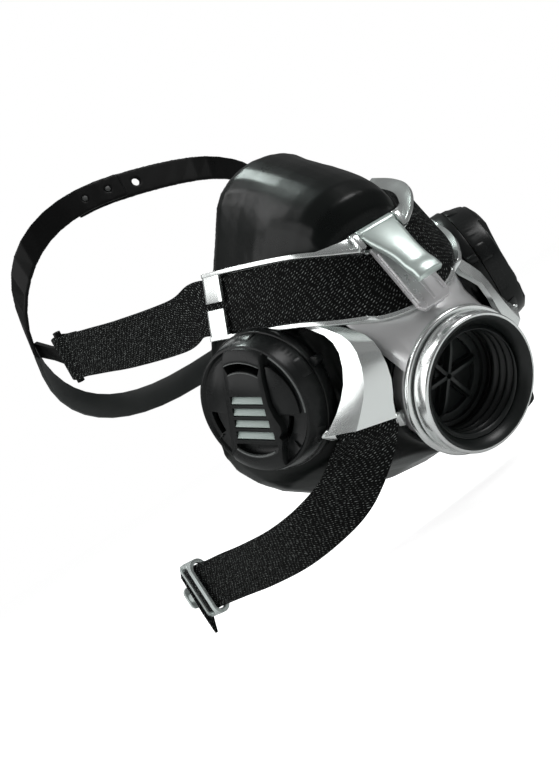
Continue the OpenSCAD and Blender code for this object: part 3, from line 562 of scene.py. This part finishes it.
turned("groove_shade_band", [(sleeve_r, groove_from), (ring_r - 0.0009, groove_from),
                         (ring_r - 0.0009, groove_to), (sleeve_r, groove_to)],
       0.0001, seal_rubber, "seal_rubber", "mask", "groove_seal")
gasket_from = bore_len + 0.00005
turned("seat_gasket", [(0.0186, gasket_from), (0.02075, gasket_from), (0.02075, seat_step),
                       (0.0186, seat_step)],
       0.0002, seal_rubber, "seal_rubber", "mask", "thread_gasket")

# One pitch of the rounded thread is drawn as a line and screwed round the bore
thread = bmesh.new()
turns = bore_len / thread_pitch + 2
outline = [thread.verts.new((bore_r + 0.0001 - thread_depth * (0.5 - 0.5 * math.cos(math.tau * k / 12)), 0,
                             thread_pitch * k / 12 - bore_len - thread_pitch)) for k in range(13)]
line = [thread.edges.new(pair) for pair in zip(outline, outline[1:])]
bmesh.ops.spin(thread, geom=outline + line, cent=(0, 0, 0), axis=(0, 0, 1), angle=math.tau * turns,
               dvec=(0, 0, thread_pitch / 96), steps=int(96 * turns), use_merge=False)
bmesh.ops.remove_doubles(thread, verts=thread.verts, dist=1e-6)
for level, face_up in ((-lead_in + 0.0004, 1), (0.0004 - bore_len, -1)):
    bmesh.ops.bisect_plane(thread, geom=thread.verts[:] + thread.edges[:] + thread.faces[:],
                           plane_co=(0, 0, level), plane_no=(0, 0, face_up), clear_outer=True)
bmesh.ops.recalc_face_normals(thread, faces=thread.faces)
bmesh.ops.solidify(thread, geom=thread.faces[:], thickness=thread_wall)
for face in thread.faces:
    face.smooth = True
thread.transform(connector_frame)
new_piece("round_thread", thread, thread_plastic, "mask", "thread_plastic")

# ---- Inhalation valve -------------------------------------------------------
# A seat with six thin fins closes the inner end of the bore. A dark silicone flap lies behind it
# on a post, and a ring clips the cup onto the neck behind the seat.
fin_t = 0.0015
fin_rise = 0.0034
fin_r = 0.0150
spider_s = 0.0212
fin_foot = 0.001
spider_grey = moulded("spider_grey", (0.026, 0.031, 0.030), (0.016, 0.020, 0.019), 0.34, 1400.0, 0.05)
flap_silicone = moulded("flap_silicone", (0.020, 0.024, 0.023), (0.012, 0.015, 0.014), 0.42, 900.0, 0.06)
broken_edges("inhale_spider", 0.0003, spider_grey, "thread_plastic", "mask")
broken_edges("inhale_flap", 0.0002, flap_silicone, "flap_silicone", "inhale")
broken_edges("inhale_button", 0.0002, spider_grey, "thread_plastic", "mask")
broken_edges("retaining_ring", 0.0003, spider_grey, "thread_plastic", "mask")
fins = bmesh.new()
for k in range(6):
    turn = Matrix.Rotation(math.tau * k / 6, 4, "Z")
    draw(fins, [[turn @ Vector((r, w, -spider_s - fin_foot + h)) for w, h in (
        (-fin_t / 2, 0), (fin_t / 2, 0), (fin_t / 2, rise + fin_foot), (-fin_t / 2, rise + fin_foot))]
        for r, rise in ((0.0009, fin_rise), (fin_r * 0.6, fin_rise), (fin_r * 0.9, fin_rise * 0.8),
                        (fin_r, fin_rise * 0.25))])
soften(fins, 0.0002)
fins.transform(connector_frame)
new_piece("seat_fins", fins, spider_grey, "mask", "thread_plastic")

# ---- Latch ------------------------------------------------------------------
# A grey plate with raised ribs clamps the front strap. The cast lever above it turns on a steel
# pin and lies over the plate when it is closed.
plate_grey = moulded("plate_grey", (0.80, 0.79, 0.80), (0.68, 0.67, 0.68), 0.24, 1600.0, 0.015, Metallic=0.5)
lever_alloy = moulded("lever_alloy", (0.66, 0.735, 0.705), (0.52, 0.60, 0.57), 0.30, 1100.0, 0.008,
                      Metallic=0.6)
broken_edges("clamp_plate", 0.0003, plate_grey, "plate_grey", "mask")
lever_len = 0.028
lever_start = 0.0008
lever_half = 0.0080
lever_waist = 0.0026
lever_crown = 0.0011
lever_lip = 0.0012
barrel_r = 0.0024
barrel_half = 0.0082
lever_frame = (front_frame @ Matrix.Translation((0, pin_y, pin_z))
               @ Matrix.Rotation(math.radians(-14), 4, "X"))


def circle(radius, count):
    """Points of a circle about the origin."""
    return [(radius * math.cos(math.tau * k / count), radius * math.sin(math.tau * k / count))
            for k in range(count)]


lever = bmesh.new()
draw(lever, [[Vector((x, y, z)) for y, z in circle(barrel_r, 36)] for x in (-barrel_half, barrel_half)])
tongue = []
for k in range(33):
    t = k / 32
    half = lever_half - lever_waist * ease(t * 1.6)
    front = -0.0023 - lever_crown * math.sin(math.pi * t) - lever_lip * ease((t - 0.72) / 0.2)
    drop = -lever_start - (lever_len - lever_start) * t
    tongue.append([Vector((x, y, drop)) for x, y in (
        (-half, -0.0004), (half, -0.0004), (half, front + 0.0009), (half * 0.80, front),
        (half * 0.2, front - 0.0005), (-half * 0.34, front - 0.0006), (-half * 0.86, front),
        (-half, front + 0.0009))])
draw(lever, tongue)
soften(lever, 0.0005, 20, 3)
lever.transform(lever_frame)
new_piece("finger_lever", lever, lever_alloy, "lever", "lever_alloy", "latch_lever")
broken_edges("latch_pin", 0.0002, bar_steel, "bar_steel", "mask")

# ---- Exhalation valves ------------------------------------------------------
# Each side port carries a black housing with a flap seat. Its cover turns on with about a tenth
# of a turn, and pale louvres show through the slots of its grip.
cover_lock = math.radians(33)
cap_face = -0.0036
grip_face = 0.0002
cover_frame = valve_frame @ Matrix.Rotation(cover_lock, 4, "Z")
grip_line = 0.0006
pad_t = 0.0024
pad_fall = 0.14
rib_half = 0.0003
skirt_ribs = 6
skirt_rib_angle = 16
lug_at = Matrix.Rotation(math.radians(174.6), 3, "Z") @ Vector((0.0276, 0, 0))
lug_r = 0.0017
lug_from = -0.0162
lug_to = -0.0118
valve_plastic = moulded("valve_plastic", (0.013, 0.014, 0.014), (0.007, 0.008, 0.008), 0.27, 1900.0, 0.04,
                        Specular_IOR_Level=0.22)
# The raised lines get a paler grey than the cover's own black, as painted highlight along them
rim_painted_highlight = moulded("rim_painted_highlight", (0.125, 0.135, 0.132), (0.085, 0.092, 0.090), 0.24, 1900.0, 0.03)
louvre_grey = moulded("louvre_grey", (0.47, 0.555, 0.52), (0.36, 0.435, 0.41), 0.30, 1500.0, 0.06)


def bead(form, radius, first, last, level, width, height):
    """A raised line along a part of a circle about the cover's axis. Angles are in degrees."""
    rows = []
    count = max(6, int(abs(last - first) / 2.5))
    for k in range(count + 1):
        t = math.radians(first + (last - first) * k / count)
        end = math.sin(math.pi * min(max(k / count, 0.02), 0.98)) ** 0.35
        rows.append([Vector((math.cos(t) * r, math.sin(t) * r, z)) for r, z in (
            (radius - width / 2, level - 0.0004), (radius + width / 2, level - 0.0004),
            (radius + width * 0.28, level + height * end), (radius - width * 0.28, level + height * end))])
    draw(form, rows)


def pad(form, corners, level, thick, fall=0.0):
    """A flat raised pad with the outline corners. It can fall away from the cover's middle."""
    near = min(abs(x) for x, _ in corners)
    draw(form, [[Vector((x, y, level - 0.0005)) for x, y in corners],
                [Vector((x, y, level + thick - fall * (abs(x) - near))) for x, y in corners]])


def arc(radius, first, last, count):
    """Points along a part of a circle, at even angles in degrees."""
    angles = [math.radians(first + (last - first) * k / count) for k in range(count + 1)]
    return [(radius * math.cos(t), radius * math.sin(t)) for t in angles]


for side, flip in (("left", 1), ("right", -1)):
    handed = Matrix.Diagonal((flip, 1, 1, 1)) @ cover_frame
    broken_edges("valve_housing_" + side, 0.0003, valve_plastic, "valve_plastic", "mask")
    broken_edges("exhale_seat_" + side, 0.0002, spider_grey, "valve_plastic", "mask")
    broken_edges("exhale_flap_" + side, 0.0002, seal_rubber, "flap_silicone", "exhale_" + side)
    broken_edges("valve_cover_" + side, 0.0003, valve_plastic, "valve_plastic", "cover_" + side)
    broken_edges("louvre_" + side, 0.0002, louvre_grey, "louvre_grey", "cover_" + side)
    # Raised lines round the vents and the foot of the grip, in a paler grey that is painted highlight
    lines = bmesh.new()
    bead(lines, 0.0186, 62, 111, grip_face, grip_line, 0.0004)
    bead(lines, 0.0149, 60, 114, grip_face, grip_line, 0.0004)
    bead(lines, 0.0171, 236, 296, grip_face, 0.0011, 0.0005)
    bead(lines, 0.0226, 114, 176, cap_face + 0.001, 0.0013, 0.0004)
    bead(lines, 0.0231, 60, 172, cap_face, grip_line, 0.0009)
    bead(lines, 0.0231, 196, 418, cap_face, 0.0008, 0.0010)
    soften(lines, 0.0001)
    lines.transform(handed)
    # Flat pads beside the grip, and a short rib below each side vent
    pads = bmesh.new()
    pad(pads, [(0.0106, -0.0026)] + arc(0.0209, -9, 59, 14) + [(0.0101, 0.0180)],
        cap_face, pad_t, pad_fall)
    pad(pads, [(-0.0082, 0.0175)] + arc(0.0199, 119, 178, 12)
        + [(-0.0117, -0.0004), (-0.0097, 0.0036), (-0.0085, 0.0118)], cap_face, pad_t, pad_fall)
    for near, far in (((0.0158, -0.0122), (0.0178, -0.0140)), ((-0.0160, -0.0104), (-0.0182, -0.0126))):
        run = (Vector(far) - Vector(near)).normalized() * rib_half
        pad(pads, [(near[0] - run.y, near[1] + run.x), (far[0] - run.y, far[1] + run.x),
                   (far[0] + run.y, far[1] - run.x), (near[0] + run.y, near[1] - run.x)], cap_face, 0.0008)
    # Ribs down the skirt, for the fingers
    for k in range(skirt_ribs):
        first = 12 + 360 / skirt_ribs * k
        last = first + skirt_rib_angle
        draw(pads, [[Vector((x, y, z)) for x, y in arc(r, first, last, 6) + arc(r - 0.0016, last, first, 6)]
                    for r, z in ((0.0263, -0.0106), (0.0261, -0.0088), (0.0250, -0.0062), (0.0244, -0.0054))])
    soften(pads, 0.0002)
    pads.transform(handed)
    for form in (lines, pads):
        bmesh.ops.recalc_face_normals(form, faces=form.faces)
    # A stop lug on the housing's collar, which a turned cover comes up against
    lug = bmesh.new()
    draw(lug, [[lug_at + Vector((x, y, z)) for x, y in circle(lug_r, 24)] for z in (lug_from, lug_to)])
    pad(lug, [(lug_at.x * f + lug_at.y * g, lug_at.y * f - lug_at.x * g)
              for f, g in ((0.93, -0.03), (1.0, -0.03), (1.0, 0.03), (0.93, 0.03))],
        lug_from + 0.0005, 0.0032)
    soften(lug, 0.0003)
    lug.transform(Matrix.Diagonal((flip, 1, 1, 1)) @ valve_frame)
    bmesh.ops.recalc_face_normals(lug, faces=lug.faces)
    new_piece("collar_lug_" + side, lug, valve_plastic, "mask", "valve_plastic")
    new_piece("cover_lines_" + side, lines, rim_painted_highlight, "cover_" + side, "valve_plastic")
    new_piece("cover_pads_" + side, pads, valve_plastic, "cover_" + side, "valve_plastic")

# ---- Woven straps -----------------------------------------------------------
# The straps are black elastic webbing with a fine slanting rib and pale flecks of painted highlight on its
# crests. Their ends are turned round a bar and sewn down, and the front one slides in the yoke's channel.
row_pitch = 0.00108
row_slant = 0.64
column_pitch = 0.00102
rib_height = 0.00010
stitch_len = 0.0016
stitch_r = 0.00021
yarn_black = (0.0030, 0.0034, 0.0033)
# The pale grey of the flecks is painted highlight on the rib's crests
crest_highlight_grey = (0.29, 0.31, 0.3)
row_step = 0.00027
strap_corner = 0.00035
strap_cells = 72

# The rib's rows and columns are read from the band's own length and width, with some stray
weave, shader, place = new_finish("webbing", Specular_IOR_Level=0.08)
laid = place.node("ShaderNodeAttribute", {"attribute_name": "lay"}, output=1)
along = laid.node("ShaderNodeSeparateXYZ", None, {0: laid}, output=0)
across = laid.node("ShaderNodeSeparateXYZ", None, {0: laid}, output=1)
stray = (laid.noise(380.0, 2.0) - 0.5) * 0.0011
rows = ((along - across * row_slant + stray) * (math.tau / row_pitch)).wave().between(-1, 1, 0, 1)
staggered = across - along * (column_pitch / row_pitch / 2) + stray
columns = (staggered * (math.tau / column_pitch)).wave().between(-1, 1, 0.35, 1)
uneven = laid.noise(700.0, 4.0)
tuft = laid.noise(2600.0, 2.0)
crest = rows * columns
# Pale flecks where the rib's crests rise, broken up at random: painted highlight on the yarn's crests
crest_highlight_flecks = (crest + (uneven - 0.5) * 1.3 + (tuft - 0.5) * 0.7).between(0.72, 1.14, 0, 1)
feed(shader, Base_Color=crest_highlight_flecks.tint(yarn_black, crest_highlight_grey), Roughness=uneven.between(0.3, 0.7, 0.55, 0.85),
     Normal=(crest + tuft * 0.3).relief(0.5, 0.0003))
thread_black = moulded("thread_black", (0.03, 0.032, 0.032), (0.012, 0.013, 0.013), 0.5, 3000.0, 0.2)


def even_stations(stations, spacing):
    """Stations (place, across, face) taken again at even distances along their way."""
    run = [0.0]
    for before, after in zip(stations, stations[1:]):
        run.append(run[-1] + (after[0] - before[0]).length)
    count = max(2, round(run[-1] / spacing))
    taken, k = [], 0
    for n in range(count + 1):
        want = run[-1] * n / count
        while k < len(run) - 2 and run[k + 1] < want:
            k += 1
        t = min(max((want - run[k]) / max(run[k + 1] - run[k], 1e-9), 0), 1)
        a, b = stations[k], stations[k + 1]
        taken.append(tuple(a[i].lerp(b[i], t) for i in range(3)))
    return taken


def webbing(name, stations, body, *nodes):
    """A band of webbing drawn through stations, with its slanting rib raised on both faces."""
    stations = even_stations(stations, row_step)
    half = strap_w / 2
    across = [x * (half - strap_corner) / (strap_cells / 2)
              for x in range(-strap_cells // 2, strap_cells // 2 + 1)]
    outline = [(x, strap_t / 2) for x in across] + [(half, strap_t / 4), (half, -strap_t / 4)]
    outline += [(x, -strap_t / 2) for x in reversed(across)] + [(-half, -strap_t / 4), (-half, strap_t / 4)]
    form = bmesh.new()
    lay = form.verts.layers.float_vector.new("lay")
    run, placed, laid_at = 0.0, [], []
    for i, (centre, side, face) in enumerate(stations):
        if i:
            run += (centre - stations[i - 1][0]).length
        row = []
        for x, y in outline:
            rib = math.sin(math.tau * (run - row_slant * x) / row_pitch) * (
                0.72 + 0.28 * math.sin(math.tau * x / column_pitch))
            edge = min(1, (half - abs(x)) / 0.0008)
            row.append(centre + side * x + face * (y + math.copysign(rib_height * rib * edge, y)))
        placed.append(row)
        laid_at.append(run)
    for row, run in zip(draw(form, placed), laid_at):
        for vert, (x, _) in zip(row, outline):
            vert[lay] = (run, x, 0)
    bmesh.ops.recalc_face_normals(form, faces=form.faces)
    for face in form.faces:
        face.smooth = True
    return new_piece(name, form, weave, body, "webbing", *nodes)


def round_bar(stations, centre, ring, sewn):
    """Takes a band's end over a bar, round it and back under itself, where it is sewn down."""
    heading = (centre - stations[-2][0]).normalized()
    rise = 3.2 * ring
    flat = [s for s in stations if (s[0] - centre).dot(heading) < -0.0008]
    side = flat[-1][1]
    face = heading.cross(side).normalized()
    if face.dot(flat[-1][2]) < 0:
        face = -face
    end = flat[-1][0]
    flat += [(end + (centre - heading * 0.0003 - end) * t, side, face) for t in (0.34, 0.67, 1)]

    def reach(s):
        return (s[0] - centre).dot(heading)

    over = [(s[0] + s[2] * ring * ease((reach(s) + rise) / rise), s[1], s[2]) for s in flat]
    bend = [(centre + (face * math.cos(t) + heading * math.sin(t)) * ring, side,
             face * math.cos(t) + heading * math.sin(t)) for t in [math.pi * k / 14 for k in range(15)]]
    under = []
    for s in reversed(flat):
        if reach(s) < -rise - sewn:
            break
        gap = ring + (strap_t * 1.04 - ring) * ease(-reach(s) / rise)
        under.append((s[0] - s[2] * gap, s[1], -s[2]))
    return over + bend + under


def stitches(name, stations, near, far, body):
    """Slanted rows of thread over a sewn end, each stitch a small raised bead on the band's face."""
    form = bmesh.new()
    count = int((far - near) / stitch_len)
    run, placed = 0.0, []
    for before, after in zip(stations, stations[1:]):
        run += (after[0] - before[0]).length
        placed.append((run, after))
    for row in (-1, 0, 1):
        for k in range(count):
            want = near + (k + 0.5) * stitch_len
            station = min(placed, key=lambda item: abs(item[0] - want))[1]
            aside = row * strap_w * 0.36 + (k / max(count - 1, 1) - 0.5) * strap_w * 0.1
            heading = station[1].cross(station[2]).normalized()
            centre = station[0] + station[1] * aside + station[2] * strap_t * 0.53
            rows = []
            for j in range(7):
                t = j / 6 - 0.5
                size = stitch_r * math.cos(math.pi * t * 0.9)
                middle = centre + (heading * 0.9 + station[1] * 0.35) * t * stitch_len * 0.8
                rows.append([middle + station[1] * x + station[2] * y for x, y in circle(size, 6)])
            draw(form, rows)
    bmesh.ops.recalc_face_normals(form, faces=form.faces)
    for face in form.faces:
        face.smooth = True
    return new_piece(name, form, thread_black, body, "webbing")


def strap_station(v):
    """A station of the front strap, from -1 at the right guide to 1 at the left one."""
    centre, side, face, _ = channel_station(abs(v))
    station = (centre - face * strap_t / 2, side, face)
    return tuple(mirrored @ x for x in station) if v < 0 else station


webbing("front_webbing", [strap_station(k / 100) for k in range(-100, 101)], "mask", "front_strap")


def band_route(route, first, last, free):
    """Stations of a band through its route. It leaves square to its first direction."""
    stations = []
    for k in range(161):
        u = k / 160
        heading = heading_at(route, u, 0.02)
        side = first.lerp(last, ease(u)).normalized()
        side = (side - heading * side.dot(heading) * min(u * free, 1)).normalized()
        stations.append((curve_at(route, u), side, heading.cross(side).normalized()))
    return stations


def way_length(stations):
    """The length of a band along its stations."""
    return sum((after[0] - before[0]).length for before, after in zip(stations, stations[1:]))


guide_end = channel_station(1)
tee_at = Vector((0.072, 0.118, 0.057))
tee_dir = Vector((0, -0.35, 0.937)).normalized()
tee_r = 0.0018
loop_gap = 0.00008
strap_heading = Vector((0.206, 0.916, 0.343)).normalized()
rear_start = guide_end[0] - guide_end[2] * strap_t / 2 + guide_end[3] * 0.00015
rear_route = [rear_start, rear_start + guide_end[3] * 0.009, Vector((0.0525, 0.027, 0.0326)),
              Vector((0.0615, 0.065, 0.0418)), Vector((0.067, 0.09, 0.049)),
              tee_at - strap_heading * (tee_r + 0.001)]
sewn_to = 0.0085
sewn_len = 0.006
rear_flat = band_route(rear_route, guide_end[1], tee_dir, 3)
rear_band = round_bar(rear_flat, tee_at, tee_r + loop_gap + strap_t / 2, 0.007)
rear_len = way_length(rear_flat)
for side in ("left", "right"):
    stations = rear_band if side == "left" else [tuple(mirrored @ x for x in s) for s in rear_band]
    webbing("rear_webbing_" + side, stations, "mask", "rear_strap_" + side)
    stitches("rear_stitching_" + side, stations, rear_len - sewn_to - sewn_len, rear_len - sewn_to, "mask")

# ---- Head cradle ------------------------------------------------------------
# Smooth moulded bands go round the crown and the nape of the head. The crown is in two parts that
# are joined by grey pegs, and a T-shaped anchor on each side hooks the straps on.
crown_skin = 0.0005
cradle_rubber = moulded("cradle_rubber", (0.0075, 0.0078, 0.0078), (0.0045, 0.0047, 0.0047), 0.30, 1300.0,
                        0.03, Specular_IOR_Level=0.1)
nape_rubber = moulded("nape_rubber", (0.019, 0.0225, 0.0215), (0.012, 0.0145, 0.014), 0.34, 1300.0, 0.05)
peg_grey = moulded("peg_grey", (0.055, 0.058, 0.058), (0.035, 0.037, 0.037), 0.4, 1400.0, 0.1)
for side in ("left", "right"):
    crown = new_piece("crown_" + side, joined_copy("crown_band_" + side), cradle_rubber, "mask",
                      "cradle_rubber", "crown_band_" + side)
    even_skin(crown, crown_skin, 4)
    broken_edges("anchor_" + side, 0.0003, cradle_rubber, "cradle_rubber", "mask")
broken_edges("nape_band", 0.00045, nape_rubber, "cradle_rubber", "mask", rings=3)
broken_edges("crown_pegs", 0.00025, peg_grey, "peg_grey", "mask")

# ---- Neck straps and clasp --------------------------------------------------
# A strap hangs from each lower bar to a cast oval frame. The right one carries a woven tab and a
# T-shaped hook that slips into the loop on the left one behind the neck.
hook_bar_r = 0.0015
hook_turn = math.radians(-15.2)
strap_end = Vector((0.0806, 0.104, -0.066))
hook_at = strap_end + Vector((math.sin(-hook_turn), math.cos(hook_turn), 0)) * (hook_bar_r + 0.001)
neck_route = [bar_mid + Vector((0.1, 0.35, -0.93)) * (bar_r + 0.001)] + [Vector(p) / 1000 for p in (
    (40, -23.5, -48), (47.5, -11, -56.5), (56, 4.5, -61.5), (63.5, 27, -64.8), (69.5, 54.5, -66),
    (74.2, 79, -66))] + [strap_end]
neck_band = round_bar(band_route(neck_route, -bar_dir, Vector((0, 0, 1)), 5), hook_at,
                      hook_bar_r + loop_gap + strap_t / 2, 0.004)
neck_band = round_bar(neck_band[::-1], bar_mid, bar_r + loop_gap + strap_t / 2, 0.004)[::-1]
buckle_alloy = moulded("buckle_alloy", (0.76, 0.82, 0.80), (0.60, 0.66, 0.645), 0.24, 1200.0, 0.012,
                       Metallic=0.35)
for side in ("left", "right"):
    stations = neck_band if side == "left" else [tuple(mirrored @ x for x in s) for s in neck_band]
    webbing("neck_webbing_" + side, stations, "neck_" + side, "neck_strap_" + side)
broken_edges("hook_frame", 0.0004, buckle_alloy, "buckle_alloy", "hook", rings=3)
broken_edges("tee_hook", 0.0003, buckle_alloy, "buckle_alloy", "hook", rings=3)
broken_edges("catch_loop", 0.0003, buckle_alloy, "buckle_alloy", "catch")

# The tab's weave follows the strap, so its lay is read from its own length and width
tab = joined_copy("strap_tab")
bmesh.ops.dissolve_limit(tab, angle_limit=math.radians(0.6), verts=tab.verts, edges=tab.edges)
bmesh.ops.triangulate(tab, faces=tab.faces)
soften(tab, 0.00025)
tab_lay = tab.verts.layers.float_vector.new("lay")
for vert in tab.verts:
    vert[tab_lay] = (vert.co.z, vert.co.x, 0)
new_piece("woven_tab", tab, weave, "hook", "webbing", "strap_tab")
